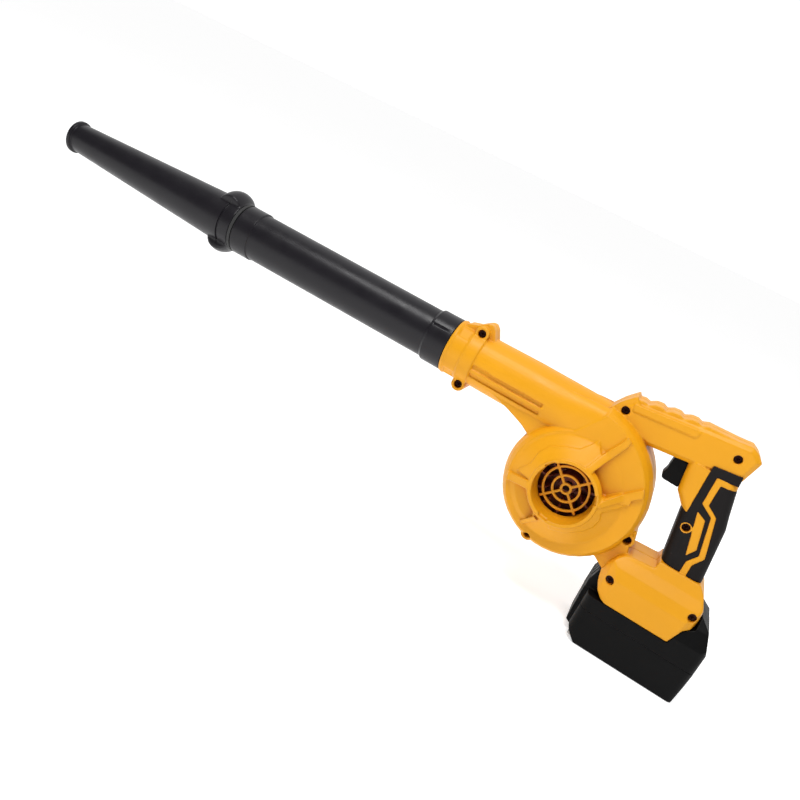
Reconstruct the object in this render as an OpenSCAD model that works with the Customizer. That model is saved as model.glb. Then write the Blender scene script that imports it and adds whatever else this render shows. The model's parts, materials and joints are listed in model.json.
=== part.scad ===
// Cordless leaf blower: a two-half housing with a scroll fan case, an air duct and a closed
// loop handle, a two-piece tube and nozzle, and a battery pack that slides off to the rear.
// Frame: +Z up, the nozzle points to -X, the air intake faces -Y.
// The origin is the centre of the battery pack's bottom face.

/* [Air path] */
// Height of the tube axis above the battery's base
tube_z = 186.3; // [185:0.1:188]
// Outer radius of the air tube
tube_r = 25; // [24.5:0.1:25.2]
// Wall of the air tube
tube_wall = 1.8; // [1.4:0.1:2.2]
// Front edge of the housing's collar
collar_x = -286; // [-288:0.5:-284]
// Joint between the tube and the nozzle
joint_x = -548.4; // [-560:0.1:-540]
// Front edge of the nozzle
tip_x = -782; // [-800:1:-760]
// Inner radius of the nozzle's mouth
mouth_r = 13.6; // [12:0.1:14]

/* [Fan] */
// Distance of the fan axis ahead of the battery's centre
fan_x = -122.4; // [-123:0.1:-122]
// Height of the fan axis
fan_z = 125.4; // [125:0.1:126]
// Outer radius of the impeller
impeller_r = 52; // [46:0.5:54]
// Number of impeller blades
blades = 11; // [7:1:13]
// Inner radius of the round intake mouth
intake_r = 29; // [28.5:0.1:29.5]
// Radius of the motor can
motor_r = 21.5; // [20:0.1:22]

/* [Housing] */
// Wall of the housing
wall = 2.5; // [2:0.1:3]
// Half width of the scroll case
scroll_y = 24; // [23.5:0.1:24.5]
// Half width of the hand grip
grip_y = 17; // [16.5:0.1:17.5]
// Half width of the battery foot
foot_y = 37.5; // [37:0.1:38]
// Thickness of the soft overmould
soft = 1.6; // [1.2:0.1:2]

/* [Battery] */
// Length of the battery pack's lower case
pack_x = 116; // [115:0.5:117]
// Height of the pack's flat top
pack_z = 50; // [49.5:0.1:50.2]
// Radius of one cell
cell_r = 9.1; // [8.8:0.05:9.2]
// Length of one cell
cell_len = 65; // [64:0.5:66]

/* [Hidden] */
$fn = 64;
shell_yellow = [0.93, 0.62, 0.13];
soft_black = [0.10, 0.09, 0.09];
tube_black = [0.16, 0.16, 0.17];
big = 300;
gap = 0.4;

// Screws that join the two halves: [x, z, face of the recess, seat of the head]
screw_seats = [
    [-261.7, 213.5, -17, -9], [-260.9, 158.8, -17, -9], [-111.6, 215, -16, -8],
    [-51.2, 108.8, -18, -8], [-132.6, 64, -20, -10], [-8.1, 224.6, -18, -9],
    [-13.9, 147.6, -18, -9], [-46.9, 72.5, -39, -28], [29.9, 82.2, -39, -28]];
recess_r = 4;
head_r = 3.4;
shank_r = 1.75;
shank_y = 12;

// Sunken panels of the intake cover: [middle, floor, outline round the middle]
hollow_panels = [
    [[-86, 162], -29.2, [[-25, -6], [-20.5, 1], [-14, 14], [-7, 28], [18, 28], [28, 6],
        [-2.5, -22], [-14, -24]]],
    [[-151, 97], -33, [[-6, 15], [-18, 10], [-14, -5], [5, -19], [15, -10], [12, 4]]]];
// Ribs, and the low wings that step down round the rim
rib_outlines = [
    [[-117, 156], [-109.5, 173], [-101, 189], [-95.6, 203], [-92, 203], [-93.4, 190],
        [-99.5, 176], [-106, 163.5], [-110, 155]],
    [[-92, 132], [-87, 139.5], [-57, 169], [-50, 163], [-87, 131.5]],
    [[-150, 121.5], [-181, 111.5], [-181, 103], [-150, 113]],
    [[-135, 92], [-145, 76], [-141.6, 74], [-130, 90]]];
wing_outlines = [
    [[-170, 119.5], [-168.2, 123], [-161.3, 133.9], [-160, 146.3], [-153.2, 157.1],
        [-141.9, 163.6], [-128.5, 168.6], [-117.6, 181.6], [-110, 172], [-122, 125]],
    [[-88, 139], [-68, 142.5], [-72, 137], [-84.8, 127], [-82.3, 119.8], [-84.4, 110],
        [-90.6, 102.2], [-103.8, 91.7], [-118, 87.5], [-122, 125]]];

// Half width of the scroll's full-radius band on the intake side
band_y = 16;

// Rows of blades, cells and screws in the foot and the pack
blade_y = [-10, 0, 10];
seam_z = 35.6;
cell_rows = [12.4, 31.2];
cell_columns = [-38, -19, 0, 19, 38];
holder_y = [-30, 22];
pack_screws = [[-52, -30.6], [-52, 30.6], [52, -30.6], [52, 30.6]];
// Centre of the release button's face, and how far it leans back from level
button_at = [53.4, 0, 66.2];
button_lean = 68;

// ---- Helpers ----

// A side profile (X across, Z up) extruded from y0 to y1
module side(y0, y1) {
    translate([0, y1, 0])
        rotate([90, 0, 0])
            linear_extrude(y1 - y0)
                children();
}

// A front profile (Y across, Z up) extruded from x0 to x1
module front(x0, x1) {
    translate([x0, 0, 0])
        rotate([90, 0, 90])
            linear_extrude(x1 - x0)
                children();
}

// A cylinder or cone along X on the tube axis
module on_tube(x0, x1, r0, r1) {
    translate([x0, 0, tube_z])
        rotate([0, 90, 0])
            cylinder(h = x1 - x0, r1 = r0, r2 = r1);
}

// A cylinder or cone along Y, with radius r0 at y0 and r1 at y1
module along_y(x, z, y0, y1, r0, r1) {
    translate([x, y1, z])
        rotate([90, 0, 0])
            cylinder(h = y1 - y0, r1 = r1, r2 = r0);
}

// The same on the fan axis
module on_fan(y0, y1, r0, r1) {
    along_y(fan_x, fan_z, y0, y1, r0, r1);
}

// A ring on the fan axis
module fan_ring(y0, y1, r_in, r_out) {
    difference() {
        on_fan(y0, y1, r_out, r_out);
        on_fan(y0 - 1, y1 + 1, r_in, r_in);
    }
}

// Everything on the intake side of the parting plane, or on the other side
module right_half() {
    intersection() {
        children();
        translate([-900, -big, -10]) cube([1000, big, 300]);
    }
}
module left_half() {
    intersection() {
        children();
        translate([-900, 0, -10]) cube([1000, big, 300]);
    }
}

// ---- Outlines ----

// Scroll radius at an angle counted from the front, through the bottom and rear to the top
function scroll_r(a) = 61.2 + 0.068 * a + 0.0005 * pow(max(0, a - 150), 2);

module scroll_outline(inset) {
    polygon([for (a = [0 : 7.5 : 270])
        [fan_x - (scroll_r(a) - inset) * cos(a), fan_z - (scroll_r(a) - inset) * sin(a)]]);
}

// Lower lip of the duct where it meets the scroll
module tongue_outline() {
    polygon([[-236, 172], [-236, 169.5], [-220, 166.5], [-206, 162.5], [-196, 159],
        [-187, 155.5], [-180, 151.5], [-172, 147], [-160, 147], [-160, 172]]);
}

module beam_outline() {
    polygon([[-124, 206], [-121, 216], [-109, 227.2], [-47, 235.2], [-1.2, 239.8],
        [5, 236.4], [11, 230.4], [6.6, 222], [5, 208], [-30, 201.7], [-54, 198.6],
        [-82, 195.5]]);
}

module grip_cavity_outline() {
    polygon([[-33, 207], [-33, 174], [-21, 159], [-11, 104], [17, 104], [12.5, 160],
        [0, 207]]);
}

module foot_outline() {
    polygon([[-46, 97.5], [-40, 99.5], [-18, 101], [-17, 108], [24, 107.5], [30.5, 100.7], [36.1, 90.1],
        [38.1, 72.8], [28.5, 67], [23.4, 52.8], [22.5, 50.6], [-39, 50.6], [-46, 52],
        [-51.5, 56.5], [-55.5, 63], [-57.5, 71.6], [-55, 84], [-51, 93]]);
}

// ---- Outer solids of the housing ----

module scroll_solid() {
    hull() {
        side(-band_y, scroll_y) scroll_outline(0);
        side(-scroll_y, scroll_y + 2) scroll_outline(3);
        side(-scroll_y - 5, scroll_y + 5) scroll_outline(6.5);
    }
    on_fan(-scroll_y - 5, -scroll_y, scroll_r(0) - 5.5, scroll_r(0) - 2);
    on_fan(-scroll_y, -band_y, scroll_r(0) - 2, scroll_r(0) + 1.2);
    on_fan(-band_y, scroll_y, scroll_r(0) + 1.2, scroll_r(0) + 1.2);
    on_fan(scroll_y, scroll_y + 5, scroll_r(0), scroll_r(0) - 5);
    difference() {
        on_fan(-scroll_y - 18, -scroll_y - 4, intake_r + 5, scroll_r(0) - 7);
        cover_hollows(1, 0);
    }
    on_fan(-46, -38, intake_r + 3.4, intake_r + 6);
    on_fan(scroll_y + 2, 61, motor_r + 11, motor_r + 10);
    on_fan(61, 65, motor_r + 10, motor_r + 6);
}

module duct_solid() {
    on_tube(collar_x, collar_x + 3.5, 27.6, 28.4);
    on_tube(collar_x + 3.5, collar_x + 18, 27.4, 27.4);
    on_tube(collar_x + 18, collar_x + 20, 28.6, 28.6);
    on_tube(collar_x + 20.8, collar_x + 31, 28.2, 28.2);
    on_tube(collar_x + 18, collar_x + 22, 27.2, 27.2);
    on_tube(collar_x + 31, -200, 26.4, 27);
    on_tube(-200, fan_x, 27, 26.2);
    side(-20, 20) tongue_outline();
    side(-10, 10) polygon([[-282, 209], [-279, 215], [-269.4, 218], [-264.8, 221.6], [-260, 224.4],
        [-256.3, 224.6], [-252.5, 221], [-247, 210]]);
}

// Screw bosses outside the duct and the scroll
module boss_solids() {
    for (i = [0 : 4])
        along_y(screw_seats[i][0], screw_seats[i][1], screw_seats[i][2] + 1,
            -screw_seats[i][2] - 1, 7, 7);
    side(-15, 15) polygon([[-126, 209], [-117.6, 221.7], [-108, 232], [-95, 215], [-95, 205]]);
    side(-15, 15) polygon([[-60, 125], [-51, 123], [-46.7, 118.7], [-44.7, 104], [-70, 104]]);
}

module beam_solid() {
    hull() {
        side(-12, 12) beam_outline();
        side(-15.8, 15.8) offset(delta = -4) beam_outline();
    }
    side(-13, 13) polygon([[-109, 226], [-108, 228.4], [-101, 230.2], [-96.5, 228.8],
        [-91, 232.2], [-84.5, 233], [-80.5, 231], [-75, 234.2], [-68.5, 234.8], [-64.5, 233],
        [-58.5, 236], [-52.5, 236.6], [-48, 235], [-43, 237.4], [-10, 238.6], [-10, 226]]);
}

// Raised strips along the beam's sides
module beam_strips() {
    for (s = [-1, 1])
        side(s * 15.2 - 1.9, s * 15.2 + 1.9)
            polygon([[-107.1, 224.8], [-51, 231], [-46.8, 229.6], [-46.4, 226], [-48.4, 224],
                [-105.6, 218.6]]);
}

// Outer shape of the grip
module grip_outer() {
    hull() {
        grip_block(204, -42, 4.8, 0);
        grip_block(174, -37.5, 12.8, 0);
    }
    hull() {
        grip_block(174, -37.5, 12.8, 0);
        grip_block(161, -26, 16.8, 0);
    }
    hull() {
        grip_block(161, -26, 16.8, 0);
        grip_block(108, -16.5, 24, 0);
    }
}

// A thin slice of the grip: a rounded rectangle with full sides
module grip_block(z, x0, x1, inset) {
    round_r = 9;
    for (x = [x0 + round_r, x1 - round_r])
        for (y = [-1, 1])
            translate([x, y * (grip_y - round_r), z - 0.5])
                cylinder(h = 1, r = round_r - inset, $fn = 32);
}

// Core of the grip under the overmould
module grip_core() {
    hull() {
        grip_block(204, -36, 4.2, soft);
        grip_block(162, -27, 15.8, soft);
    }
    hull() {
        grip_block(162, -27, 15.8, soft);
        grip_block(108, -16.5, 24, soft);
    }
}

// The battery foot: three profiles cut from each other
module foot_solid() {
    intersection() {
        side(-foot_y, foot_y) foot_outline();
        front(-60, 40) polygon([[-foot_y, 50], [-foot_y, 76], [-foot_y + 4, 87],
            [-foot_y + 12, 97], [-grip_y - 1, 109], [grip_y + 1, 109], [foot_y - 12, 97],
            [foot_y - 4, 87], [foot_y, 76], [foot_y, 50]]);
        translate([0, 0, 50]) linear_extrude(60) polygon([[-58, -20], [-52, -31],
            [-42, -foot_y], [27, -foot_y], [34, -33], [38.5, -22], [38.5, 22], [34, 33],
            [27, foot_y], [-42, foot_y], [-52, 31], [-58, 20]]);
    }
    side(-19, 19) polygon([[-92, 125], [-50, 112], [-44, 97], [-50, 76], [-57.6, 72.6],
        [-71, 80.4], [-92, 88]]);
}

// Where the hard shell shows through the overmould as stripes
module stripe_outline() {
    polygon([[20, 204.4], [-14.7, 202.1], [-13.6, 174.6], [-0.8, 166.9], [8.4, 130.3],
        [1.8, 120.4], [2.1, 100], [8.5, 100], [7.9, 119.2], [14.3, 130.4], [3.2, 169.3],
        [-7.8, 176.1], [-8.4, 196.7], [20, 199.5]]);
    polygon([[-13.4, 166.7], [-3.4, 162.2], [4.2, 134], [-1.4, 124.2]]);
}

// Outline of the soft overmould
module overmould_outline() {
    difference() {
        polygon([[-22.6, 209.8], [12, 214], [30, 180], [32, 108], [9.5, 105.7], [2.2, 105.5],
            [-14.4, 107.8], [-25, 108], [-36, 160], [-26.7, 162.4], [-20.6, 160.2]]);
        stripe_outline();
        translate([screw_seats[6][0], screw_seats[6][1]]) circle(r = recess_r + 1.2);
    }
}

// ---- Inner spaces of the housing ----

module housing_spaces() {
    side(-band_y - 1, scroll_y - 0.6) scroll_outline(wall);
    side(-scroll_y + 1.5, 0) scroll_outline(6);
    on_fan(-scroll_y - 2.5, scroll_y + 2.5, scroll_r(0) - 6.5, scroll_r(0) - 6.5);
    on_fan(scroll_y, 62.5, motor_r + 8.5, motor_r + 7.5);
    difference() {
        on_fan(-39, -scroll_y - 2, intake_r + 2.5, scroll_r(0) - 10.5);
        cover_hollows(1.14, 2.5);
    }
    on_tube(collar_x + 31, fan_x, 23.5, 23.5);
    on_tube(collar_x - 1, collar_x + 32, 24.9, 24.9);
    side(-11.5, 11.5) grip_cavity_outline();
    side(-12, 12) polygon([[-100, 225], [-100, 213], [-78, 205.5], [-38, 205], [-2, 208],
        [1, 216], [-4, 234], [-46, 233.5]]);
    side(-16, 16) polygon([[-80, 118], [-58, 111], [-54, 96], [-57, 82], [-68, 84], [-82, 90]]);
    foot_space();
}

// Space for the boards in the foot and the channel for the pack's tower
module foot_space() {
    intersection() {
        side(-30, 30) polygon([[-50, 86], [-47, 91], [-41, 95.5], [-19, 97], [-11, 98],
            [-10.5, 104.5], [21, 104.5], [27, 98], [31, 90], [31, 77], [-50, 77]]);
        front(-60, 40) polygon([[-28, 77], [-28, 85], [-24, 93], [-15, 105], [15, 105],
            [24, 93], [28, 85], [28, 77]]);
    }
    for (s = [-1, 1])
        translate([-44, s * 30.5 - 4, 54]) cube([64, 8, 19]);
    channel();
}

// The tower's channel, open at both ends, with a groove for each rail
module channel() {
    front(-70, 60) polygon([[-20 - gap, 40], [-20 - gap, 70 + gap],
        [20 + gap, 70 + gap], [20 + gap, 40]]);
    front(-70, 60) polygon([[-23.5 - gap, 60 - gap], [-23.5 - gap, 64 + gap],
        [23.5 + gap, 64 + gap], [23.5 + gap, 60 - gap]]);
}

// Space that the trigger travels in
module trigger_slot() {
    side(-8.6, 8.6) polygon([[-60, 173.6], [-60, 201.2], [-30, 201.2], [-30, 173.6]]);
}

module screw_holes() {
    for (s = screw_seats) {
        along_y(s[0], s[1], -60, s[3], recess_r, recess_r);
        along_y(s[0], s[1], -60, shank_y + 1, shank_r + 0.05, shank_r + 0.05);
    }
}

// The whole shell before it is cut in two
module housing_shell() {
    difference() {
        union() {
            scroll_solid();
            duct_solid();
            boss_solids();
            beam_solid();
            beam_strips();
            foot_solid();
            grip_core();
            intersection() {
                grip_outer();
                grip_hard_zone();
            }
        }
        housing_spaces();
        trigger_slot();
        outlet_seat();
    }
}

// Seat for the terminal block in the floor above the channel
module outlet_seat() {
    translate([-42, -15, 69]) cube([32, 30, 9]);
}

// Parts of the grip that stay hard: above the overmould, in front of it, and the stripes
module grip_hard_zone() {
    side(-grip_y - 2, grip_y + 2) {
        difference() {
            translate([-60, 90]) square([120, 140]);
            overmould_outline();
        }
    }
}

// Posts that carry the screws inside the shell
module screw_posts() {
    for (i = [4 : 8])
        along_y(screw_seats[i][0], screw_seats[i][1], screw_seats[i][3] - 4, 15, 5, 5);
}

// Space over the sunken panels of the intake cover, grown and deepened for the wall below
module cover_hollows(grow, wall_y) {
    for (h = hollow_panels)
        side(-60, h[1] + wall_y)
            translate(h[0])
                scale(grow)
                    polygon(h[2]);
}

// Everything under the cover's skin once the skin is raised
module cover_skin(raise) {
    on_fan(-scroll_y - 18 - raise, -scroll_y - 4 - raise, intake_r + 5, scroll_r(0) - 7);
    side(-scroll_y - 5 - raise, -scroll_y + 4) scroll_outline(6.5);
}

// Ribs and raised wings on the intake cover, from the rim to the scroll's edge
module cover_relief() {
    intersection() {
        cover_skin(3);
        side(-60, -20)
            for (outline = rib_outlines)
                polygon(outline);
    }
    intersection() {
        cover_skin(1.6);
        side(-60, -20)
            for (outline = wing_outlines)
                polygon(outline);
    }
}

// A shallow box sunk into the duct on side s, a degrees below its middle
module duct_pocket(s, a, x, floor_r, size) {
    translate([x, 0, tube_z])
        rotate([-s * a, 0, 0])
            translate([0, s > 0 ? floor_r : -floor_r - 4, -size[1] / 2])
                cube([size[0], 4, size[1]]);
}

// Pads low and high on the collar's band, and two long grooves along the duct
module duct_pockets(s) {
    for (a = [-48, 52])
        duct_pocket(s, a, collar_x + 5, 26.2, [11.5, 11]);
    for (a = [7, 26])
        duct_pocket(s, a, collar_x + 32, 24.6, [78, 4.8]);
}

// ---- Housing ----

module housing_right() {
    color(shell_yellow)
        right_half()
            difference() {
                union() {
                    housing_shell();
                    screw_posts();
                    difference() {
                        cover_relief();
                        on_fan(-60, 0, intake_r + 1, intake_r + 1);
                    }
                    fan_ring(-46, -31, intake_r, intake_r + 2.6);
                    difference() {
                        on_fan(-31, -scroll_y, 31.6, 29.2);
                        on_fan(-31.1, -scroll_y + 0.1, 29.05, 26.55);
                    }
                }
                on_fan(-50, -31, intake_r, intake_r);
                on_fan(-31.01, -scroll_y, intake_r, 26.6);
                bayonet_notches();
                duct_pockets(-1);
                screw_holes();
                trigger_slot();
                channel();
            }
}

// Three notches in the intake rim that take a bag or tube adapter
module bayonet_notches() {
    for (a = [0, 120, 240])
        translate([fan_x, 0, fan_z])
            rotate([0, -140 - a, 0])
                translate([intake_r - 1, -47, -5])
                    cube([2.6, 6, 10]);
}

module housing_left() {
    color(shell_yellow)
        left_half()
            difference() {
                union() {
                    housing_shell();
                    screw_posts();
                }
                duct_pockets(1);
                screw_holes();
                motor_vents();
                trigger_slot();
                channel();
            }
}

// Cooling slots round the motor cover and across its end
module motor_vents() {
    for (a = [0 : 30 : 330])
        translate([fan_x, 0, fan_z])
            rotate([0, a, 0])
                translate([motor_r + 5, 40, -2])
                    cube([10, 16, 4]);
    for (a = [0 : 45 : 315])
        translate([fan_x, 0, fan_z])
            rotate([0, a, 0])
                translate([8, 60, -1.5])
                    cube([13, 8, 3]);
}

// Ringed guard at the bottom of the intake, with four spokes
module intake_guard() {
    color(shell_yellow) {
        difference() {
            union() {
                for (a = [45 : 90 : 315])
                    translate([fan_x, 0, fan_z])
                        rotate([0, a, 0])
                            translate([4.5, -27, -1.2])
                                cube([21.9, 3, 2.4]);
                for (r = [[3.3, 5.8], [11.7, 14], [20.5, 22.8]])
                    fan_ring(-27, -24, r[0], r[1]);
            }
            on_fan(-30, -20, 3.3, 3.3);
        }
    }
}

module overmould() {
    difference() {
        intersection() {
            union() {
                grip_outer();
                side(-grip_y, grip_y)
                    polygon([[-28, 203], [-28, 214], [3.6, 214], [4.6, 203]]);
            }
            side(-grip_y - 2, grip_y + 2) overmould_outline();
        }
        grip_core();
        beam_solid();
        foot_solid();
        trigger_slot();
    }
}

module grip_overmould_right() {
    color(soft_black) right_half() overmould();
}

module grip_overmould_left() {
    color(soft_black) left_half() overmould();
}

module housing_screws() {
    color("dimgray")
        for (s = screw_seats)
            difference() {
                union() {
                    along_y(s[0], s[1], s[3] - 2.6, s[3], head_r, head_r);
                    along_y(s[0], s[1], s[3], shank_y, shank_r, shank_r);
                }
                translate([s[0] - 0.5, s[3] - 3, s[1] - 2]) cube([1, 1.8, 4]);
                translate([s[0] - 2, s[3] - 3, s[1] - 0.5]) cube([4, 1.8, 1]);
            }
}

// ---- Fan and motor ----

// Plate behind the impeller, with the drum that closes the scroll off from the motor
module fan_back_plate() {
    color(soft_black)
        difference() {
            union() {
                fan_ring(8, 11, motor_r / 2, 54.5);
                fan_ring(11, 26.4, 50.5, 54.5);
            }
            for (a = [0, 180])
                motor_hole(a, 5, 15, 2);
        }
}

module motor_hole(a, y0, y1, r) {
    translate([fan_x, 0, fan_z])
        rotate([0, a, 0])
            along_y(15, 0, y0, y1, r, r);
}

module motor_can() {
    color("silver")
        difference() {
            union() {
                on_fan(11.1, 53, motor_r, motor_r);
                on_fan(9, 11.2, 9.5, 9.5);
            }
            on_fan(13, 54, motor_r - 1.5, motor_r - 1.5);
            on_fan(8, 14, 6.5, 6.5);
            for (a = [0, 180])
                motor_hole(a, 5, 15, 1.45);
        }
}

module motor_magnets() {
    color("dimgray")
        difference() {
            fan_ring(17, 47, motor_r - 5, motor_r - 1.6);
            for (s = [-1, 1])
                translate([fan_x - 4, 10, fan_z + s * 18 - 8]) cube([8, 50, 16]);
        }
}

module motor_end_bell() {
    color("ivory")
        difference() {
            union() {
                on_fan(53, 56.5, motor_r, motor_r);
                on_fan(56.5, 60.5, 9, 9);
                fan_ring(48.5, 53, motor_r - 4, motor_r - 1.6);
            }
            on_fan(55, 58.5, 6.5, 6.5);
            on_fan(50, 62, 3.2, 3.2);
            for (s = [-1, 1])
                translate([fan_x + s * 14 - 3, 52, fan_z - 3]) cube([6, 6, 6]);
        }
}

module motor_brushes() {
    color("dimgray")
        for (s = [-1, 1])
            translate([fan_x + s * 9.3 - 2.6, 48.6, fan_z - 2]) cube([5.2, 3.6, 4]);
}

module motor_bearings() {
    color("silver") {
        fan_ring(9.2, 13, 2.56, 6.45);
        fan_ring(55.1, 58.4, 2.56, 6.45);
    }
}

module motor_screws() {
    color("gray")
        for (a = [0, 180]) {
            motor_hole(a, 6.8, 8, 3);
            motor_hole(a, 8, 14.5, 1.4);
        }
}

module rotor_shaft() {
    color("silver") on_fan(-19, 60, 2.5, 2.5);
}

// Slotted iron core with its windings
module armature() {
    color("peru")
        difference() {
            union() {
                on_fan(18, 45, 15.6, 15.6);
                on_fan(15, 47.5, 11.5, 11.5);
            }
            on_fan(10, 60, 2.5, 2.5);
            for (a = [0 : 72 : 288])
                translate([fan_x, 0, fan_z])
                    rotate([0, a, 0])
                        translate([12, 10, -1.2])
                            cube([6, 50, 2.4]);
        }
}

module commutator() {
    color("orange") fan_ring(47.6, 52.6, 2.5, 6.4);
}

// Closed radial impeller: back disc, hub and swept-back blades
module impeller() {
    color(soft_black)
        difference() {
            union() {
                on_fan(3.5, 6, impeller_r, impeller_r);
                on_fan(-14, 4, 8, 12);
                for (i = [0 : blades - 1])
                    translate([fan_x, 0, fan_z])
                        rotate([0, i * 360 / blades, 0])
                            blade();
            }
            on_fan(-20, 10, 2.5, 2.5);
        }
}

// One blade: an arc of a thin ring that leans back from the direction of turning
module blade() {
    intersection() {
        translate([30, 4, -26])
            rotate([90, 0, 0])
                difference() {
                    cylinder(h = 24, r = 34);
                    translate([0, 0, -1]) cylinder(h = 26, r = 32.2);
                }
        difference() {
            along_y(0, 0, -20, 4, impeller_r - 1, impeller_r - 1);
            along_y(0, 0, -21, 5, 20, 12);
        }
        translate([0, -30, 0]) cube([60, 40, 60]);
    }
}

module impeller_nut() {
    color("silver")
        difference() {
            translate([fan_x, -14.1, fan_z])
                rotate([90, 0, 0])
                    cylinder(h = 4, r = 4.6, $fn = 6);
            on_fan(-20, -10, 2.5, 2.5);
        }
}

// ---- Trigger and electrics ----

module trigger() {
    color(soft_black) {
        difference() {
            side(-8, 8) polygon([[-53.4, 198], [-54, 190], [-55.6, 178.5], [-54.4, 175.6],
                [-52, 174.6], [-38, 174.4], [-36.9, 187.6], [-38.6, 198]]);
            along_y(-71.2, 187, -10, 10, 17.2, 17.2);
        }
        translate([-40, -3.5, 183]) cube([20, 7, 6]);
    }
}

// A coil of round wire along +Z, from the origin up to the given length
module coil(r, wire, length, turns) {
    sides = 8;
    steps = 14;
    last = turns * steps;
    rise = length - 2 * wire;
    points = [for (i = [0 : last], j = [0 : sides - 1])
        let (a = 360 * i / steps, b = 360 * j / sides, q = r + wire * cos(b))
        [q * cos(a), q * sin(a), wire + rise * i / last + wire * sin(b)]];
    walls = [for (i = [0 : last - 1], j = [0 : sides - 1])
        let (k = (j + 1) % sides)
        [i * sides + j, i * sides + k, (i + 1) * sides + k, (i + 1) * sides + j]];
    caps = [[for (j = [sides - 1 : -1 : 0]) j], [for (j = [0 : sides - 1]) last * sides + j]];
    polyhedron(points, concat(walls, caps), convexity = 10);
}

// Return spring between the trigger and the switch
module trigger_spring() {
    color("silver")
        translate([-37.4, 0, 195.8])
            rotate([0, 90, 0])
                coil(2.6, 0.4, 17, 6);
}

module trigger_switch() {
    color("dimgray")
        difference() {
            union() {
                translate([-20, -8.5, 166]) cube([21, 17, 34]);
                translate([-20.8, -5, 180]) cube([1, 10, 12]);
            }
            translate([-22, -3.9, 182.6]) cube([9.5, 7.8, 6.8]);
        }
}

module controller_board() {
    color("darkgreen") {
        translate([-16, -24, 78]) cube([40, 48, 1.6]);
        for (x = [-13, -3])
            translate([x, -20, 79.5]) cube([8, 8, 6]);
    }
}

module heat_sink() {
    color("silver")
        translate([8, -14, 79.7]) {
            cube([14, 28, 2.4]);
            for (i = [0 : 4])
                translate([0, i * 6.5, 0]) cube([14, 2, 12]);
        }
}

module terminal_block() {
    color("black")
        difference() {
            translate([-41.8, -14.8, 70.5]) cube([31.6, 29.6, 7.4]);
            for (y = blade_y)
                translate([-38, y - 0.45, 60]) cube([20, 0.9, 30]);
        }
}

module terminal_blades() {
    color("goldenrod")
        for (y = blade_y)
            translate([-37.9, y - 0.4, 60.5]) cube([19.8, 0.8, 17.4]);
}

// Two leads from the motor's end to the board, bundled along the beam and the grip
module motor_leads() {
    color("red") {
        lead_x(-86, -16, -4, 221);
        lead_x(-86, -16, 4, 221);
    }
}

module lead_x(x0, x1, y, z) {
    translate([x0, y, z])
        rotate([0, 90, 0])
            cylinder(h = x1 - x0, r = 1.3, $fn = 24);
}

module battery_leads() {
    color("red")
        for (y = [-4.5, 4.5])
            translate([3, y, 79.7]) cylinder(h = 86.2, r = 1.3, $fn = 24);
}

// ---- Tube and nozzle ----

module collar_seal() {
    color("black") tube_ring(collar_x + 12, 23.2, 24.75, 2.4);
}

module tube_ring(x, r_in, r_out, width) {
    difference() {
        on_tube(x, x + width, r_out, r_out);
        on_tube(x - 1, x + width + 1, r_in, r_in);
    }
}

module blower_tube() {
    color(tube_black)
        difference() {
            union() {
                on_tube(collar_x - 21.7, collar_x - gap, 27, 27.2);
                on_tube(collar_x - 24.2, collar_x - 21.7, tube_r, 27);
                on_tube(joint_x + 28.9, collar_x - 22, tube_r, tube_r);
                on_tube(joint_x + 4.4, joint_x + 26, 26.2, 26.2);
                on_tube(joint_x + 26, joint_x + 28.9, 26.2, tube_r);
                on_tube(joint_x - 24, joint_x + 5, 23.6, 23.6);
                on_tube(collar_x - 1, collar_x + 26, 24.5, 24.5);
            }
            on_tube(joint_x - 30, collar_x + 30, 23.6 - tube_wall, 23.6 - tube_wall);
            on_tube(joint_x + 8, collar_x - 6, tube_r - tube_wall, tube_r - tube_wall);
            tube_ring(collar_x + 11.9, 23.2, 26, 2.6);
            tube_ring(joint_x - 12.1, 22.6, 26, 2.6);
        }
}

module nozzle_seal() {
    color("black") {
        tube_ring(joint_x - 12, 22.6, 23.85, 2.4);
        tube_ring(joint_x + 0.6, 23.62, 26.4, 3.2);
    }
}

module nozzle() {
    color(tube_black)
        difference() {
            union() {
                on_tube(joint_x - 11.6, joint_x - gap / 4, 26.5, 26.5);
                on_tube(joint_x - 14.2, joint_x - 11.6, 25.3, 25.3);
                on_tube(tip_x + 4, joint_x - 14.2, 15.4, 25.9);
                translate([tip_x + 2, 0, tube_z])
                    rotate([0, 90, 0])
                        rotate_extrude()
                            translate([16.2, 0]) circle(r = 2, $fn = 32);
                on_tube(tip_x + 0.5, tip_x + 4, 16.2, 16.2);
                nozzle_ears();
            }
            on_tube(tip_x - 1, tip_x + 14, mouth_r, mouth_r);
            on_tube(tip_x + 14, joint_x - 27, mouth_r, 23.9);
            on_tube(joint_x - 27.01, joint_x + 1, 23.9, 23.9);
        }
}

// Rounded finger ears at the top and the bottom of the nozzle's collar
module nozzle_ears() {
    ear_r = 13.8;
    intersection() {
        translate([joint_x - 14, 0, tube_z])
            rotate([0, 90, 0])
                rotate_extrude()
                    intersection() {
                        translate([34 - ear_r, 0]) circle(r = ear_r);
                        translate([24, -20]) square([20, 40]);
                    }
        front(joint_x - 40, joint_x - gap / 4) {
            for (s = [-1, 1])
                polygon([[0, tube_z], [-30, tube_z + s * 36], [30, tube_z + s * 36]]);
        }
    }
}

// ---- Battery pack ----

// Lower case profile: flat base, chamfered front foot, sides that lean in
module pack_outline() {
    polygon([[-46, 0], [54.6, 0], [57.8, 30], [58.3, pack_z - 18], [58.3, pack_z - 14.4],
        [-57.8, pack_z - 14.4], [-57.8, 12], [-54.6, 8]]);
}

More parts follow.
